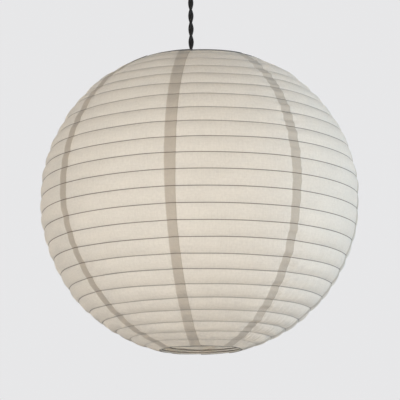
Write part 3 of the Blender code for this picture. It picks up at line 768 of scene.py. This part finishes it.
FRAME_WIRE = 0.00125
STRETCHER_BEARING = math.radians(75.0)
STRETCHER_BEND = 0.006
TOP_HOOK_SWEEP = 55
FOOT_SWEEP = 65
WIRE_PLAY = 0.0003
RING_HOOK = RING_WIRE + WIRE_PLAY + FRAME_WIRE
LEG_PLAY = 0.0015
WELD_SWELL = 0.0003
WIRE_STEP = 0.0008
WIRE_SIDES = 16
ARM_POINTS = 40
HUB_POINTS = 96
HOLDER_RING_HEIGHT = (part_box("holder_ring")[0][2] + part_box("holder_ring")[1][2]) / 2
HOLDER_RING_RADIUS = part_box("holder_ring")[1][0] - HOLDER_AXIS - FRAME_WIRE

SATIN_WIRE = grained(
    "satin_wire", (0.56, 0.56, 0.55), (0.66, 0.66, 0.65),
    dust=0.25, scale=600, rough=(0.26, 0.40), lift=0.06, metallic=1.0,
)


def ring_circle(row):
    """Radius and height of a hem ring's centre line, by the plain ellipse."""
    t = turn_at(np.array(float(row)))
    slope = np.array([GLOBE_HALF_HEIGHT * np.cos(t), GLOBE_RADIUS * np.sin(t)])
    slope = slope / np.linalg.norm(slope)
    place = np.array([GLOBE_RADIUS * np.cos(t), GLOBE_HALF_HEIGHT * np.sin(t)])
    return place - slope * (WIRE_GAP + RING_WIRE)


def along_evenly(points, step):
    """The same line with points an even step apart."""
    lengths = np.concatenate([[0], np.cumsum(np.linalg.norm(np.diff(points, axis=0), axis=1))])
    places = np.linspace(0, lengths[-1], int(lengths[-1] / step) + 2)
    return np.stack([np.interp(places, lengths, points[:, k]) for k in range(points.shape[1])], axis=1)


top_circle, low_circle = ring_circle(0), ring_circle(SPACES)
LEG_REACH = low_circle[0] - RING_WIRE - LEG_PLAY - FRAME_WIRE
foot_bend = min(STRETCHER_BEND, low_circle[0] - LEG_REACH - WIRE_PLAY)
side_line = np.concatenate([
    arc(top_circle, RING_HOOK, TOP_HOOK_SWEEP - 90, -90),
    arc((LEG_REACH + STRETCHER_BEND, top_circle[1] - RING_HOOK - STRETCHER_BEND), STRETCHER_BEND, 90, 180),
    arc((LEG_REACH + foot_bend, low_circle[1] + RING_HOOK + foot_bend), foot_bend, 180, 270),
    arc(low_circle, RING_HOOK, 90, 90 - FOOT_SWEEP),
])
side_line = along_evenly(side_line, WIRE_STEP)


def wire_piece(name, path, side, stands_for, weld=0.0):
    """A cut length of frame wire. Where it is welded, its last millimetre swells like a fillet."""
    reach = np.minimum(np.arange(len(path)), np.arange(len(path))[::-1])
    radius = FRAME_WIRE + weld * np.exp(-(reach / 2.0) ** 2)
    radius[[0, -1]] *= 1 if weld else 0.8
    piece = skin(name, [(capped(tube(path, radius, side, WIRE_SIDES)), {})], SATIN_WIRE)
    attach(piece, "frame")
    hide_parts(stands_for)


for hand, bearing in (("right", STRETCHER_BEARING), ("left", STRETCHER_BEARING + math.pi)):
    heading = np.array([math.sin(bearing), -math.cos(bearing), 0])
    flat_side = np.array([math.cos(bearing), math.sin(bearing), 0])
    globe_at = np.array([GLOBE_AXIS, 0, GLOBE_MIDDLE])
    path = globe_at + side_line[:, :1] * heading + side_line[:, 1:] * np.array([0, 0, 1.0])
    wire_piece(f"stretcher_side_{hand}", path, flat_side, f"side_wire_{hand}")
    hub = np.array([HOLDER_AXIS, 0, HOLDER_RING_HEIGHT])
    leg = np.array([GLOBE_AXIS, 0, HOLDER_RING_HEIGHT]) + LEG_REACH * heading
    length = np.linalg.norm(leg - hub)
    ahead = (leg - hub) / length
    first = HOLDER_RING_RADIUS + FRAME_WIRE + WIRE_PLAY
    last = length - FRAME_WIRE - WIRE_PLAY
    reach = np.linspace(first, last, ARM_POINTS)[:, None]
    wire_piece(f"stretcher_arm_{hand}", hub + reach * ahead, np.array([0, 0, 1.0]), f"arm_{hand}", WELD_SWELL)

hub_turn = np.arange(HUB_POINTS) * math.tau / HUB_POINTS
hub_side = np.stack([np.cos(hub_turn), np.sin(hub_turn), np.zeros(HUB_POINTS)], axis=1)
hub_path = hub_side * HOLDER_RING_RADIUS + (HOLDER_AXIS, 0, HOLDER_RING_HEIGHT)
holder_ring = skin(
    "stretcher_ring", [(tube(hub_path, FRAME_WIRE, hub_side, WIRE_SIDES, closed=True), {})], SATIN_WIRE,
    closed_rows=True,
)
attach(holder_ring, "frame")
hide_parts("holder_ring")


# Cloth
# Eight panels of plain-woven linen-look cloth, each cut to a long leaf, lapped 12 mm over the next and
# glued to the hoops. The hems are turned round the rings. Lit from inside, laps and hems show darker,
# and the colour paints that: painted shade at the laps and their edges, painted shadow lines along the
# hoops, the bottom ring's painted shadow above its hem, and a darkened top hem.

ROWS_PER_SPACE = 10
LAP_CUT = (0, 10, 14, 24), (1.15, 1.15, 0.97, 1.05)
PANEL_COLUMNS = 30
LAP_COLUMNS = 5
LAP_LIFT = 0.0007
BILLOW = 0.0021
HEM_ROWS = 10
HEM_LAP = 0.00015
HEM_ROLL = 0.0017
TOP_HEM = 0.0045
TOP_SWEEP = 205
TOP_CLOSING = 2.5
LOW_HEM = 0.0022
LOW_ROLL = 0.0013
LOW_SWEEP = 75
LOW_CLOSING = 1.6
WEAVE_PITCH = 0.00055
TRANSMITTED = 0.43

cloth_luck = np.random.default_rng(23)
CREASE = 0.00022, 0.00075, 0.00030, 0.00022, 0.00026, 0.00034, 0.00024, 0.00024
SLACK = cloth_luck.uniform(0.75, 1.15, (PANELS, SPACES))
# The hems draw the cloth tight, in the three spaces below the top one and the two above the bottom one.
SLACK[:, [0, 1, 2, -2, -1]] *= 0.08, 0.4, 0.7, 0.6, 0.2
PUCKERS = cloth_luck.uniform(-1, 1, (PANELS, 14, 4))
PINCH = 0.00012, 0.00055, 0.00012, 0.00016, 0.00012, 0.00020, 0.00014, 0.00016
PINCH_REACH = 0.011
PINCHES = cloth_luck.uniform(0, 1, (PANELS, 9, 3))


def puckers(panel, across, row):
    """Faint creases in a panel: a sum of slanted waves, with sizes, slants and starts from a table."""
    total = np.zeros(np.broadcast(across, row).shape)
    for size, rise, lean, start in PUCKERS[panel]:
        phase = across * (5 + 9 * abs(rise)) * math.tau + row * lean * 2.2 + start * math.pi
        total += size * np.sin(phase)
    return total / math.sqrt(len(PUCKERS[panel]))


def pinches(panel, row, away):
    """Gathers at a panel's two seams: a sum of waves along the seam, which dies away from it by an
    exponential. Both panels at a seam move alike."""
    total = np.zeros(row.shape)
    for seam, far in ((panel, away), ((panel + 1) % PANELS, PANEL_TURN * GLOBE_RADIUS - away)):
        wave = sum(
            size * np.sin(row * (2 + 9 * rate) + start * math.tau) for size, rate, start in PINCHES[seam]
        )
        total += PINCH[seam] * wave * np.exp(-np.maximum(far, 0) / PINCH_REACH)
    return total


def edge_slope(row):
    """The angle of the outline's normal at a row, up from level."""
    t = float(turn_at(row))
    return math.atan2(GLOBE_RADIUS * math.sin(t), GLOBE_HALF_HEIGHT * math.cos(t))


def panel_sheet(panel):
    """A panel's grid of points and its two maps.

    Rows run from the top hem to the bottom one and columns from the near lap to the far one. Between
    hoops the cloth swells out by a sine, less near the laps, and creases and gathers are added. The far
    lap is lifted by the cloth under it. At each end the sheet carries on round the ring in an arc."""
    row = np.linspace(0, SPACES, SPACES * ROWS_PER_SPACE + 1)
    radius = GLOBE_RADIUS * np.cos(turn_at(row))
    half_lap = (LAP * np.interp(row, *LAP_CUT) / 2 / radius)[:, None]
    lap = np.linspace(-1, 1, LAP_COLUMNS + 1)[None]
    body = np.linspace(0, 1, PANEL_COLUMNS + 1)[None, 1:-1]
    start = FIRST_SEAM + panel * PANEL_TURN
    end = start + PANEL_TURN
    middle = start + half_lap + body * (PANEL_TURN - 2 * half_lap)
    bearing = np.concatenate([start + lap * half_lap, middle, end + lap * half_lap], axis=1)
    share = np.concatenate([0 * lap, body, 0 * lap + 1], axis=1)
    place = np.concatenate([(lap + 1) / 2, 1 + body, 2 + (lap + 1) / 2], axis=1)
    grid_row = np.repeat(row[:, None], bearing.shape[1], axis=1)
    space = np.clip(np.floor(row).astype(int), 0, SPACES - 1)
    swell = np.abs(np.sin(math.pi * row)) ** 0.8 * SLACK[panel][space] * BILLOW
    taut = 0.55 + 0.45 * np.sin(math.pi * share) ** 0.5
    loose = np.abs(np.sin(math.pi * grid_row))
    from_hem = np.minimum(grid_row, SPACES - grid_row)
    crease = puckers(panel, share, grid_row) * loose * CREASE[panel] * np.minimum(from_hem, 1)
    pinch = pinches(panel, grid_row, share * PANEL_TURN * GLOBE_RADIUS)
    pinch = pinch * loose ** 0.5 * np.clip(from_hem - 1, 0, 1)
    out = swell[:, None] * taut + LAP_LIFT * share + crease + pinch
    points = globe(grid_row, bearing, out)
    weave = np.stack([(bearing - start - PANEL_TURN / 2) * radius[:, None],
                      grid_row * OUTLINE_LENGTH / SPACES], axis=-1)
    panel_map = np.stack([np.repeat(place, len(row), axis=0), grid_row], axis=-1)

    def hem_rows(run, from_ring, edge, lean):
        """Rows past an edge, from their distances along the cloth and their places about the ring's
        centre line, as distances out and up for each row and column."""
        centre = ring_circle(row[edge])
        where = bearing[edge] + lean
        ring_radius, ring_height = centre[0] + from_ring[0], centre[1] + from_ring[1]
        x, y = GLOBE_AXIS + ring_radius * np.sin(where), -ring_radius * np.cos(where)
        rows = np.stack([x, y, GLOBE_MIDDLE + ring_height], axis=-1)
        flat = np.stack([0 * x, run + 0 * x], axis=-1)
        return rows, weave[edge] + flat, panel_map[edge] + flat * (1, SPACES / OUTLINE_LENGTH)

    # The top hem rolls round its ring: a circle that closes in from the cloth's edge to the roll.
    rolled = np.linspace(0, 1, HEM_ROWS + 1)[1:, None]
    first = WIRE_GAP + RING_WIRE + LAP_LIFT * share
    reach = first + (HEM_ROLL + HEM_LAP * share - first) * np.clip(rolled * TOP_CLOSING, 0, 1)
    angle = edge_slope(0) + rolled * (math.radians(TOP_SWEEP) - edge_slope(0))
    top = hem_rows(-rolled * TOP_HEM, (reach * np.cos(angle), reach * np.sin(angle)), 0, 0.0)
    # The bottom hem turns a little way under its ring, which shows above it through the mouth.
    reach = first + (LOW_ROLL + HEM_LAP * share - first) * np.clip(rolled * LOW_CLOSING, 0, 1)
    angle = edge_slope(SPACES) - rolled * math.radians(LOW_SWEEP)
    turned_in = reach * np.cos(angle), reach * np.sin(angle)
    low = hem_rows(rolled * LOW_HEM, turned_in, -1, SEAM_DRIFT)
    points, weave, panel_map = (
        np.concatenate([above[::-1], middle_part, below])
        for above, middle_part, below in zip(top, (points, weave, panel_map), low)
    )
    area = float(((PANEL_TURN * radius + LAP) * OUTLINE_LENGTH / len(row)).sum())
    return points, weave, panel_map, area


LINEN, linen_tree, linen_shader = finish(
    "linen_cloth", (0.78, 0.72, 0.63), 0.85, sheen_weight=0.15, sheen_roughness=0.5,
)
weave_map = node(linen_tree, "UVMap", uv_map="weave").outputs[0]
weave_axes = node(linen_tree, "SeparateXYZ", {0: weave_map})
panel_axes = node(linen_tree, "SeparateXYZ", {0: node(linen_tree, "UVMap", uv_map="panel").outputs[0]})


def linen_math(operation, first, second=0.0):
    """A sum, product or other working of two values, or of one, in the cloth's material."""
    return node(linen_tree, "Math", {0: first, 1: second}, operation=operation).outputs[0]


def thread_wave(axis):
    """Height of the threads across one axis: a sine with one bump for each thread."""
    return linen_math("SINE", linen_math("MULTIPLY", weave_axes.outputs[axis], math.pi / WEAVE_PITCH))


# Over and under: the product of the two thread sines. Slubs: noise drawn out along each thread.
over_under = linen_math("MULTIPLY", thread_wave(0), thread_wave(1))
warp_slub = noise(linen_tree, weave_map, 1.0, 2.0, (1500, 60, 1))
weft_slub = noise(linen_tree, weave_map, 1.0, 2.0, (50, 1500, 1))
fleck = noise(linen_tree, weave_map, 330.0, 3.0)
cloud = noise(linen_tree, weave_map, 14.0, 3.0)
slub = linen_math("ADD", warp_slub, weft_slub)
tone = linen_math("ADD", linen_math("MULTIPLY", slub, 0.30), linen_math("MULTIPLY", fleck, 0.40))
tone = linen_math("ADD", tone, linen_math("MULTIPLY", cloud, 0.30))
tone = spread(linen_tree, tone, 0.42, 0.78, 0.0, 1.0)

# Masks: a line along each hoop, painted shadow of the wire, strongest round the globe's middle; the
# hems, with the top hem darkened and the bottom ring's painted shadow above the bottom hem; the laps and
# each lap's outer edge, painted shade of the doubled cloth. Each name gives where a mask starts and ends:
# in spaces from a hoop or down the panel, or across it, where the near lap ends at 1 and the far one runs
# from 2 to 3. The last is in a sine that is 0 at the mouths and 1 midway.
HOOP_SHADOW_LINE = 0.012, 0.034
TOP_HEM_LINE = 0.40, 0.50
LOW_RING_SHADOW = 23.89, 23.93
LOW_HEM_TURN = 24.02, 24.05
FAR_LAP = 1.995, 2.005
LAP_EDGE = 2.93, 2.98
MOUTH_TO_MIDDLE = 0.1, 0.95
# The hoop line: painted shadow of each hoop wire on the cloth, fading from the globe's middle to the mouths.
space_share = linen_math("FRACT", linen_math("ADD", panel_axes.outputs[1], 0.5))
hoop_far = linen_math("ABSOLUTE", linen_math("SUBTRACT", space_share, 0.5))
hoop_shadow_line = spread(linen_tree, hoop_far, *HOOP_SHADOW_LINE, 1.0, 0.0)
hoop_span = linen_math("SINE", linen_math("MULTIPLY", panel_axes.outputs[1], math.pi / SPACES))
hoop_shadow_line = linen_math("MULTIPLY", hoop_shadow_line, spread(linen_tree, hoop_span, *MOUTH_TO_MIDDLE, 0.25, 1.0))
# The top hem band is darkened. A narrow band just above the bottom hem's turn is painted shadow of the bottom
# ring, and the turn stays light.
hem_line = spread(linen_tree, panel_axes.outputs[1], *TOP_HEM_LINE, 1.0, 0.0)
low_ring_shadow = spread(linen_tree, panel_axes.outputs[1], *LOW_RING_SHADOW, 0.0, 0.6)
low_hem_turn = spread(linen_tree, panel_axes.outputs[1], *LOW_HEM_TURN, 1.0, 0.0)
hem_and_ring_shadow = linen_math("MAXIMUM", hem_line, linen_math("MULTIPLY", low_ring_shadow, low_hem_turn))
# Painted shade of the doubled cloth at the far lap, stronger round the middle, and a line of painted shade
# along each lap's outer edge.
far_lap_shade = spread(linen_tree, panel_axes.outputs[0], *FAR_LAP, 0.0, 1.0)
far_lap_shade = linen_math("MULTIPLY", far_lap_shade, spread(linen_tree, hoop_span, *MOUTH_TO_MIDDLE, 0.60, 1.14))
lap_edge_shade = spread(linen_tree, panel_axes.outputs[0], *LAP_EDGE, 0.0, 1.0)


def linen_colour(light, dark, lap, edge, line, hem):
    """The cloth's colour for one shader: its two tones, then the painted shade of the lap and its edge,
    the hoops' painted shadow lines, and the darkened top hem with the bottom ring's painted shadow.
    """
    base = tinted(linen_tree, tone, dark, light)
    base = tinted(linen_tree, linen_math("MULTIPLY", far_lap_shade, lap), base, (0.42, 0.33, 0.22))
    base = tinted(linen_tree, linen_math("MULTIPLY", lap_edge_shade, edge), base, (0.30, 0.25, 0.19))
    base = tinted(linen_tree, linen_math("MULTIPLY", hoop_shadow_line, line), base, (0.10, 0.066, 0.042))
    return tinted(linen_tree, linen_math("MULTIPLY", hem_and_ring_shadow, hem), base, (0.07, 0.066, 0.062))


# Both colours carry the painted shade of laps and lap edges, the hoops' painted shadow lines and the bottom
# ring's painted shadow.
face_colour = linen_colour(
    (0.66, 0.645, 0.605), (0.55, 0.535, 0.50), lap=0.32, edge=0.30, line=0.75, hem=0.85,
)
through_colour = linen_colour(
    (0.86, 0.80, 0.71), (0.74, 0.68, 0.60), lap=0.50, edge=0.40, line=0.80, hem=0.90,
)
linen_tree.links.new(face_colour, linen_shader.inputs["Base Color"])
weave_height = linen_math("ADD", linen_math("MULTIPLY", over_under, 0.5), slub)
linen_bump = node(linen_tree, "Bump", {"Height": weave_height, "Strength": 0.25, "Distance": 0.0003})
linen_tree.links.new(linen_bump.outputs[0], linen_shader.inputs["Normal"])
let_through = node(linen_tree, "BsdfTranslucent", {"Color": through_colour})
linen_mix = node(
    linen_tree, "MixShader",
    {0: TRANSMITTED, 1: linen_shader.outputs[0], 2: let_through.outputs[0]},
)
linen_tree.links.new(linen_mix.outputs[0], linen_tree.nodes["Material Output"].inputs["Surface"])

for panel in range(PANELS):
    points, weave, panel_map, area = panel_sheet(panel)
    # The rows go in from the bottom hem up, which points the faces outwards.
    maps = {"weave": weave[::-1], "panel": panel_map[::-1]}
    cloth = skin(
        f"cloth_panel_{panel + 1}", [(points[::-1], maps)], LINEN, closed_columns=False, sharp=180,
    )
    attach(cloth, "frame")
    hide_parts(f"gore_{panel + 1}")
    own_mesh(cloth)
